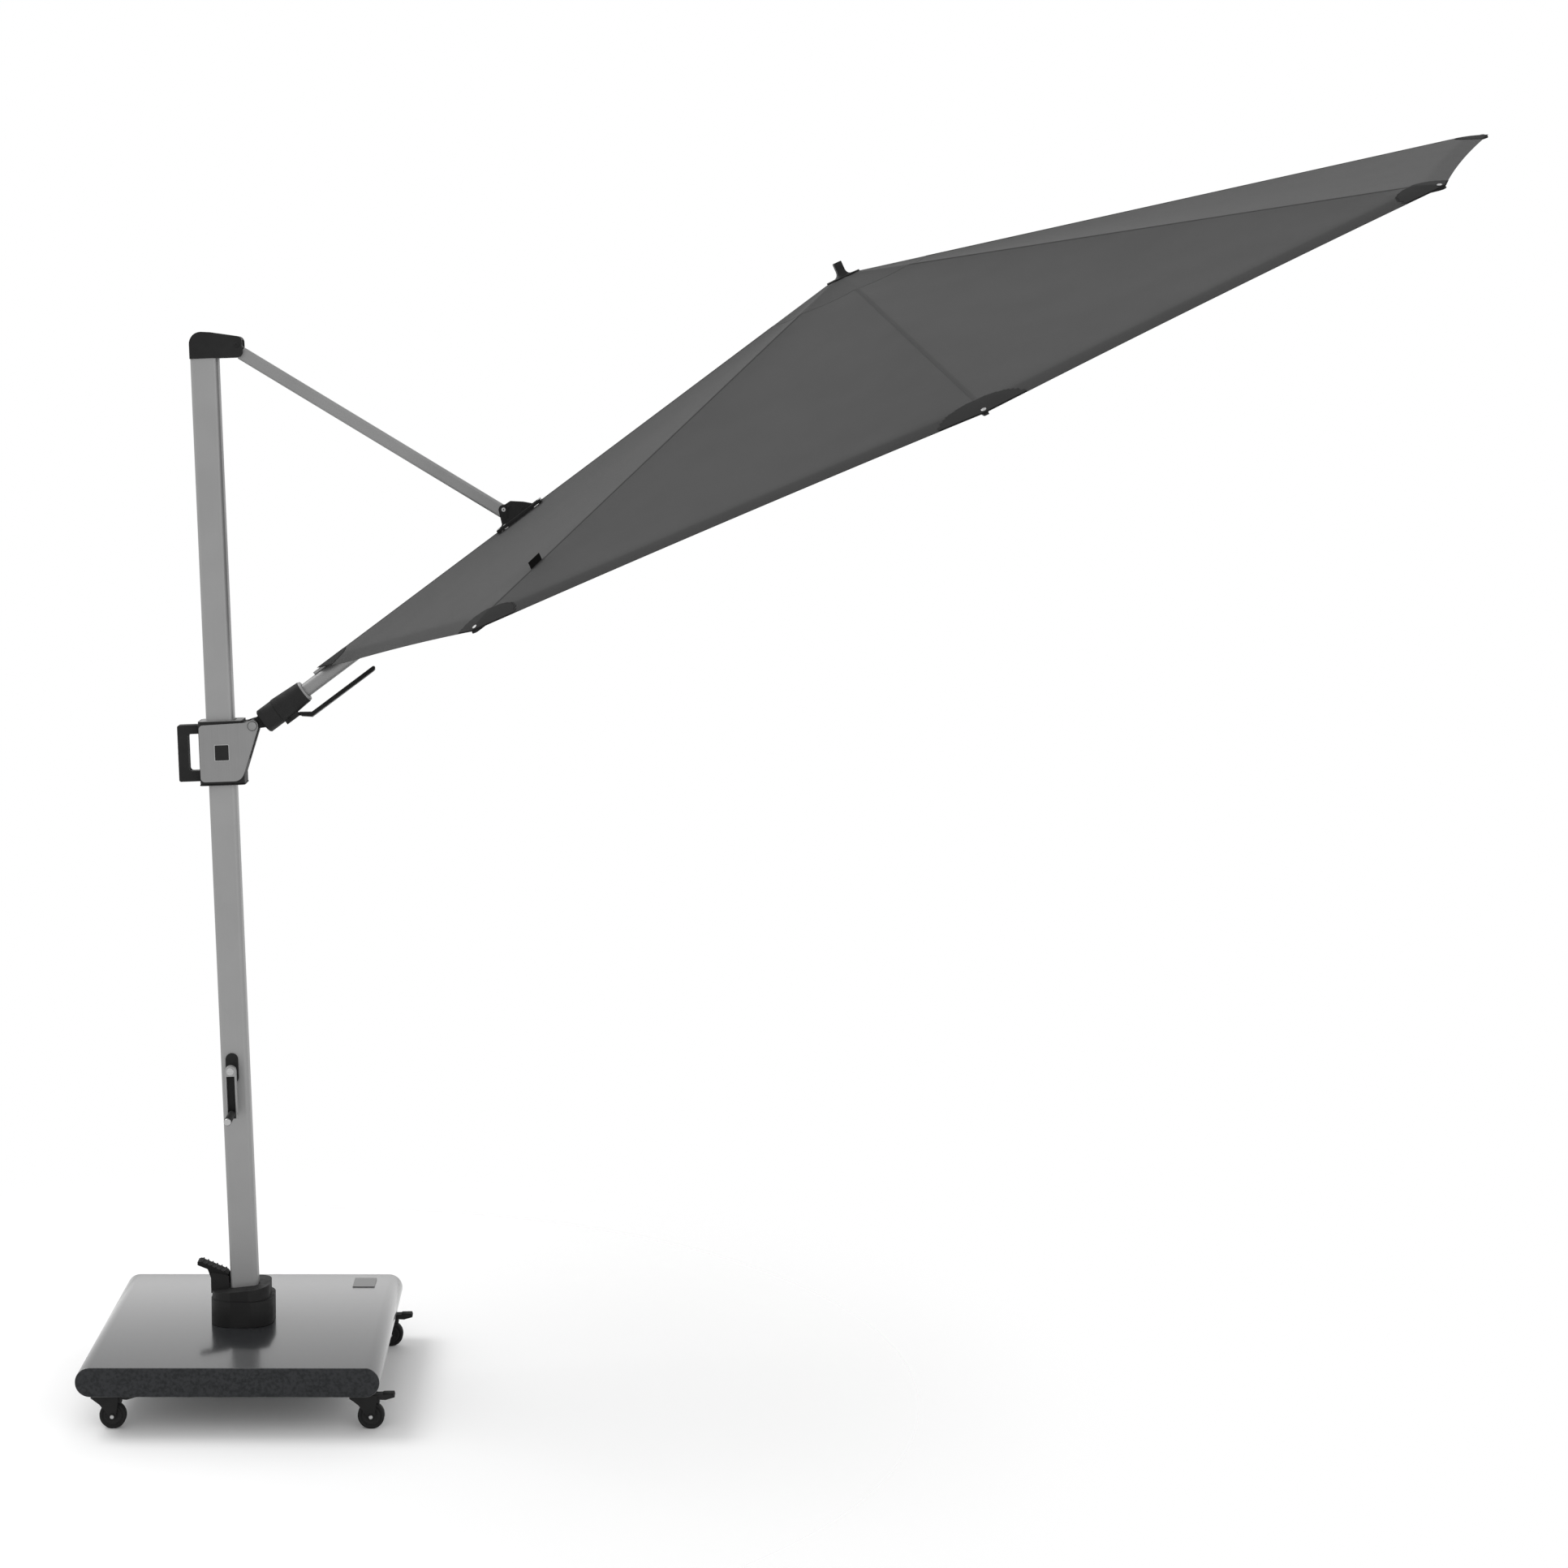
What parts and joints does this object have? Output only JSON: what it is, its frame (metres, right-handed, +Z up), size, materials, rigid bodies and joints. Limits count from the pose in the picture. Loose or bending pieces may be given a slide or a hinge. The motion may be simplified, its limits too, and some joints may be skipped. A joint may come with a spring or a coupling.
{
  "type": "cantilever garden parasol with castor base",
  "caption": "Free-arm garden parasol: folding octagonal canopy on a roll and tilt boom, leaning mast with slider, strut and crank, granite slab on castors.",
  "frame": {"origin": "on the floor, on the vertical axis about which the mast turns, at the slab's centre", "axes": "+X from the mast along the boom towards the canopy, +Y across, away from the crank, +Z up"},
  "size_m": [3.7102, 3.4206, 3.3863],
  "materials": {
    "granite": "polished anthracite granite",
    "silver_aluminium": "silver anodised",
    "black_plastic": "fine-grained black plastic",
    "black_metal": "black powder coat",
    "steel": "zinc-plated steel",
    "tyre": "dark grey rubber tread",
    "canopy_fabric": "woven grey polyester"
  },
  "bodies": {
    "base": {"granite_slab": "granite", "base_badge": "silver_aluminium", "base_flange": "steel", "castor_plates": "black_metal"},
    "mast": {"mast_foot": "black_metal", "socket_cover": "black_plastic", "mast_tube": "silver_aluminium", "mast_head": "black_plastic", "strut_pin": "steel", "crank_escutcheon": "black_plastic"},
    "pedal": {"foot_pedal": "black_plastic"},
    "crank": {"crank_shaft": "steel", "crank_arm": "silver_aluminium"},
    "grip": {"crank_grip": "black_plastic"},
    "strut": {"strut_tube": "silver_aluminium", "strut_ends": "black_metal"},
    "arm": {"arm_knuckle": "black_metal", "bracket": "black_metal", "bracket_pin": "steel"},
    "slider": {"slider_core": "black_plastic", "slider_covers": "silver_aluminium", "slider_handle": "black_plastic", "slider_pin": "silver_aluminium"},
    "trigger": {"release_trigger": "black_plastic"},
    "boom": {"boom_tube": "silver_aluminium", "boom_end": "black_plastic", "boom_rail": "silver_aluminium", "roll_collar": "black_plastic", "tilt_lever": "black_metal", "rim_plate": "silver_aluminium"},
    "hub": {"hub": "black_plastic", "finial": "black_plastic", "canopy": "canopy_fabric"},
    "rib_1": {"rib_1": "silver_aluminium"},
    "stretcher_1": {"stretcher_1": "silver_aluminium"},
    "rib_2": {"rib_2": "silver_aluminium"},
    "stretcher_2": {"stretcher_2": "silver_aluminium"},
    "rib_3": {"rib_3": "silver_aluminium"},
    "stretcher_3": {"stretcher_3": "silver_aluminium"},
    "rib_4": {"rib_4": "silver_aluminium"},
    "stretcher_4": {"stretcher_4": "silver_aluminium"},
    "rib_5": {"rib_5": "silver_aluminium"},
    "stretcher_5": {"stretcher_5": "silver_aluminium"},
    "rib_6": {"rib_6": "silver_aluminium"},
    "stretcher_6": {"stretcher_6": "silver_aluminium"},
    "rib_7": {"rib_7": "silver_aluminium"},
    "stretcher_7": {"stretcher_7": "silver_aluminium"},
    "runner": {"runner": "black_plastic"},
    "castor_1": {"castor_fork_1": "black_metal"},
    "wheel_1": {"castor_wheel_1": "tyre"},
    "brake_1": {"castor_brake_1": "black_plastic"},
    "castor_2": {"castor_fork_2": "black_metal"},
    "wheel_2": {"castor_wheel_2": "tyre"},
    "brake_2": {"castor_brake_2": "black_plastic"},
    "castor_3": {"castor_fork_3": "black_metal"},
    "wheel_3": {"castor_wheel_3": "tyre"},
    "brake_3": {"castor_brake_3": "black_plastic"},
    "castor_4": {"castor_fork_4": "black_metal"},
    "wheel_4": {"castor_wheel_4": "tyre"},
    "brake_4": {"castor_brake_4": "black_plastic"}
  },
  "joints": [
    {"name": "mast_turn", "type": "hinge", "parent": "base", "child": "mast", "pos_m": [0, 0, 0.183], "axis": [0, 0, 1], "continuous": true},
    {"name": "foot_pedal_press", "type": "hinge", "parent": "mast", "child": "pedal", "pos_m": [-0.08386, 0, 0.29214], "axis": [0, 1, 0], "range_deg": [-12, 0], "stiffness_Nm_per_rad": 4},
    {"name": "crank_turn", "type": "hinge", "parent": "mast", "child": "crank", "pos_m": [-0.03032, 0, 0.87937], "axis": [0, 1, 0], "continuous": true},
    {"name": "crank_grip_fold", "type": "hinge", "parent": "crank", "child": "grip", "pos_m": [-0.02634, -0.0715, 0.76543], "axis": [-0.9994, 0, -0.0349], "range_deg": [0, 88]},
    {"name": "canopy_lift", "type": "hinge", "parent": "mast", "child": "strut", "pos_m": [-0.00219, 0, 2.82453], "axis": [0, 1, 0], "range_deg": [-25, 24]},
    {"name": "bracket_pivot", "type": "hinge", "parent": "strut", "child": "arm", "pos_m": [0.71112, 0, 2.34093], "axis": [0, 1, 0], "range_deg": [-48, 50]},
    {"name": "slider_pivot", "type": "hinge", "parent": "arm", "child": "slider", "pos_m": [0.03328, 0, 1.80875], "axis": [0, 1, 0], "range_deg": [-25, 24]},
    {"name": "trigger_squeeze", "type": "slide", "parent": "slider", "child": "trigger", "axis": [-0.9994, 0, -0.0349], "range_m": [0, 0.006], "stiffness_N_per_m": 400},
    {"name": "boom_roll", "type": "hinge", "parent": "arm", "child": "boom", "pos_m": [0.72903, 0, 2.31699], "axis": [0.8007, 0, 0.599], "range_deg": [-15, 15]},
    {"name": "canopy_fold", "type": "hinge", "parent": "boom", "child": "hub", "pos_m": [1.57435, -0.00029, 2.97257], "axis": [-0.0094, 0.9999, 0.0126], "range_deg": [0, 72], "deforming": ["canopy"]},
    {"name": "rib_fold_1", "type": "hinge", "parent": "hub", "child": "rib_1", "pos_m": [1.65618, 0.00001, 3.01004], "axis": [-0.0094, 0.9999, 0.0126], "range_deg": [0, 72]},
    {"name": "stretcher_fold_1", "type": "hinge", "parent": "rib_1", "child": "stretcher_1", "pos_m": [2.10887, 0.00322, 3.09321], "axis": [-0.0094, 0.9999, 0.0126], "range_deg": [-144, 0]},
    {"name": "rib_fold_2", "type": "hinge", "parent": "hub", "child": "rib_2", "pos_m": [1.64389, 0.03178, 3.00495], "axis": [-0.6496, 0.7047, -0.2855], "range_deg": [0, 72]},
    {"name": "stretcher_fold_2", "type": "hinge", "parent": "rib_2", "child": "stretcher_2", "pos_m": [1.97478, 0.35005, 3.03768], "axis": [-0.6496, 0.7047, -0.2855], "range_deg": [-144, 0]},
    {"name": "rib_fold_3", "type": "hinge", "parent": "hub", "child": "rib_3", "pos_m": [1.61484, 0.04485, 2.99187], "axis": [-0.9092, -0.0033, -0.4163], "range_deg": [0, 72]},
    {"name": "stretcher_fold_3", "type": "hinge", "parent": "rib_3", "child": "stretcher_3", "pos_m": [1.65761, 0.49276, 2.89489], "axis": [-0.9092, -0.0033, -0.4163], "range_deg": [-144, 0]},
    {"name": "rib_fold_4", "type": "hinge", "parent": "hub", "child": "rib_4", "pos_m": [1.58603, 0.03157, 2.97846], "axis": [-0.6363, -0.7094, -0.3033], "range_deg": [0, 72]},
    {"name": "stretcher_fold_4", "type": "hinge", "parent": "rib_4", "child": "stretcher_4", "pos_m": [1.34314, 0.34775, 2.74848], "axis": [-0.6363, -0.7094, -0.3033], "range_deg": [-144, 0]},
    {"name": "rib_fold_5", "type": "hinge", "parent": "hub", "child": "rib_5", "pos_m": [1.58663, -0.03206, 2.97766], "axis": [0.6496, -0.7047, 0.2855], "range_deg": [0, 72]},
    {"name": "stretcher_fold_5", "type": "hinge", "parent": "rib_5", "child": "stretcher_5", "pos_m": [1.34968, -0.34687, 2.73974], "axis": [0.6496, -0.7047, 0.2855], "range_deg": [-144, 0]},
    {"name": "rib_fold_6", "type": "hinge", "parent": "hub", "child": "rib_6", "pos_m": [1.61569, -0.04514, 2.99074], "axis": [0.9092, 0.0033, 0.4163], "range_deg": [0, 72]},
    {"name": "stretcher_fold_6", "type": "hinge", "parent": "rib_6", "child": "stretcher_6", "pos_m": [1.66685, -0.48958, 2.88253], "axis": [0.9092, 0.0033, 0.4163], "range_deg": [-144, 0]},
    {"name": "rib_fold_7", "type": "hinge", "parent": "hub", "child": "rib_7", "pos_m": [1.64449, -0.03185, 3.00415], "axis": [0.6363, 0.7094, 0.3033], "range_deg": [0, 72]},
    {"name": "stretcher_fold_7", "type": "hinge", "parent": "rib_7", "child": "stretcher_7", "pos_m": [1.98132, -0.34457, 3.02895], "axis": [0.6363, 0.7094, 0.3033], "range_deg": [-144, 0]},
    {"name": "runner_pivot", "type": "hinge", "parent": "stretcher_1", "child": "runner", "pos_m": [1.75011, 0.00347, 2.80485], "axis": [-0.0094, 0.9999, 0.0126], "range_deg": [0, 72]},
    {"name": "castor_swivel_1", "type": "hinge", "parent": "base", "child": "castor_1", "pos_m": [-0.337, -0.345, 0.106], "axis": [0, 0, 1], "continuous": true},
    {"name": "wheel_roll_1", "type": "hinge", "parent": "castor_1", "child": "wheel_1", "pos_m": [-0.308, -0.345, 0.035], "axis": [0, 1, 0], "continuous": true},
    {"name": "brake_press_1", "type": "hinge", "parent": "castor_1", "child": "brake_1", "pos_m": [-0.3, -0.345, 0.084], "axis": [0, 1, 0], "range_deg": [0, 6]},
    {"name": "castor_swivel_2", "type": "hinge", "parent": "base", "child": "castor_2", "pos_m": [0.337, -0.345, 0.106], "axis": [0, 0, 1], "continuous": true},
    {"name": "wheel_roll_2", "type": "hinge", "parent": "castor_2", "child": "wheel_2", "pos_m": [0.366, -0.345, 0.035], "axis": [0, 1, 0], "continuous": true},
    {"name": "brake_press_2", "type": "hinge", "parent": "castor_2", "child": "brake_2", "pos_m": [0.374, -0.345, 0.084], "axis": [0, 1, 0], "range_deg": [0, 6]},
    {"name": "castor_swivel_3", "type": "hinge", "parent": "base", "child": "castor_3", "pos_m": [-0.337, 0.345, 0.106], "axis": [0, 0, 1], "continuous": true},
    {"name": "wheel_roll_3", "type": "hinge", "parent": "castor_3", "child": "wheel_3", "pos_m": [-0.308, 0.345, 0.035], "axis": [0, 1, 0], "continuous": true},
    {"name": "brake_press_3", "type": "hinge", "parent": "castor_3", "child": "brake_3", "pos_m": [-0.3, 0.345, 0.084], "axis": [0, 1, 0], "range_deg": [0, 6]},
    {"name": "castor_swivel_4", "type": "hinge", "parent": "base", "child": "castor_4", "pos_m": [0.337, 0.345, 0.106], "axis": [0, 0, 1], "continuous": true},
    {"name": "wheel_roll_4", "type": "hinge", "parent": "castor_4", "child": "wheel_4", "pos_m": [0.366, 0.345, 0.035], "axis": [0, 1, 0], "continuous": true},
    {"name": "brake_press_4", "type": "hinge", "parent": "castor_4", "child": "brake_4", "pos_m": [0.374, 0.345, 0.084], "axis": [0, 1, 0], "range_deg": [0, 6]}
  ],
  "couplings": [
    {"joint": "bracket_pivot", "follows": "canopy_lift", "ratio": -2},
    {"joint": "slider_pivot", "follows": "canopy_lift", "ratio": 1},
    {"joint": "rib_fold_1", "follows": "canopy_fold", "ratio": 1},
    {"joint": "stretcher_fold_1", "follows": "canopy_fold", "ratio": -2},
    {"joint": "rib_fold_2", "follows": "canopy_fold", "ratio": 1},
    {"joint": "stretcher_fold_2", "follows": "canopy_fold", "ratio": -2},
    {"joint": "rib_fold_3", "follows": "canopy_fold", "ratio": 1},
    {"joint": "stretcher_fold_3", "follows": "canopy_fold", "ratio": -2},
    {"joint": "rib_fold_4", "follows": "canopy_fold", "ratio": 1},
    {"joint": "stretcher_fold_4", "follows": "canopy_fold", "ratio": -2},
    {"joint": "rib_fold_5", "follows": "canopy_fold", "ratio": 1},
    {"joint": "stretcher_fold_5", "follows": "canopy_fold", "ratio": -2},
    {"joint": "rib_fold_6", "follows": "canopy_fold", "ratio": 1},
    {"joint": "stretcher_fold_6", "follows": "canopy_fold", "ratio": -2},
    {"joint": "rib_fold_7", "follows": "canopy_fold", "ratio": 1},
    {"joint": "stretcher_fold_7", "follows": "canopy_fold", "ratio": -2},
    {"joint": "runner_pivot", "follows": "canopy_fold", "ratio": 1}
  ]
}
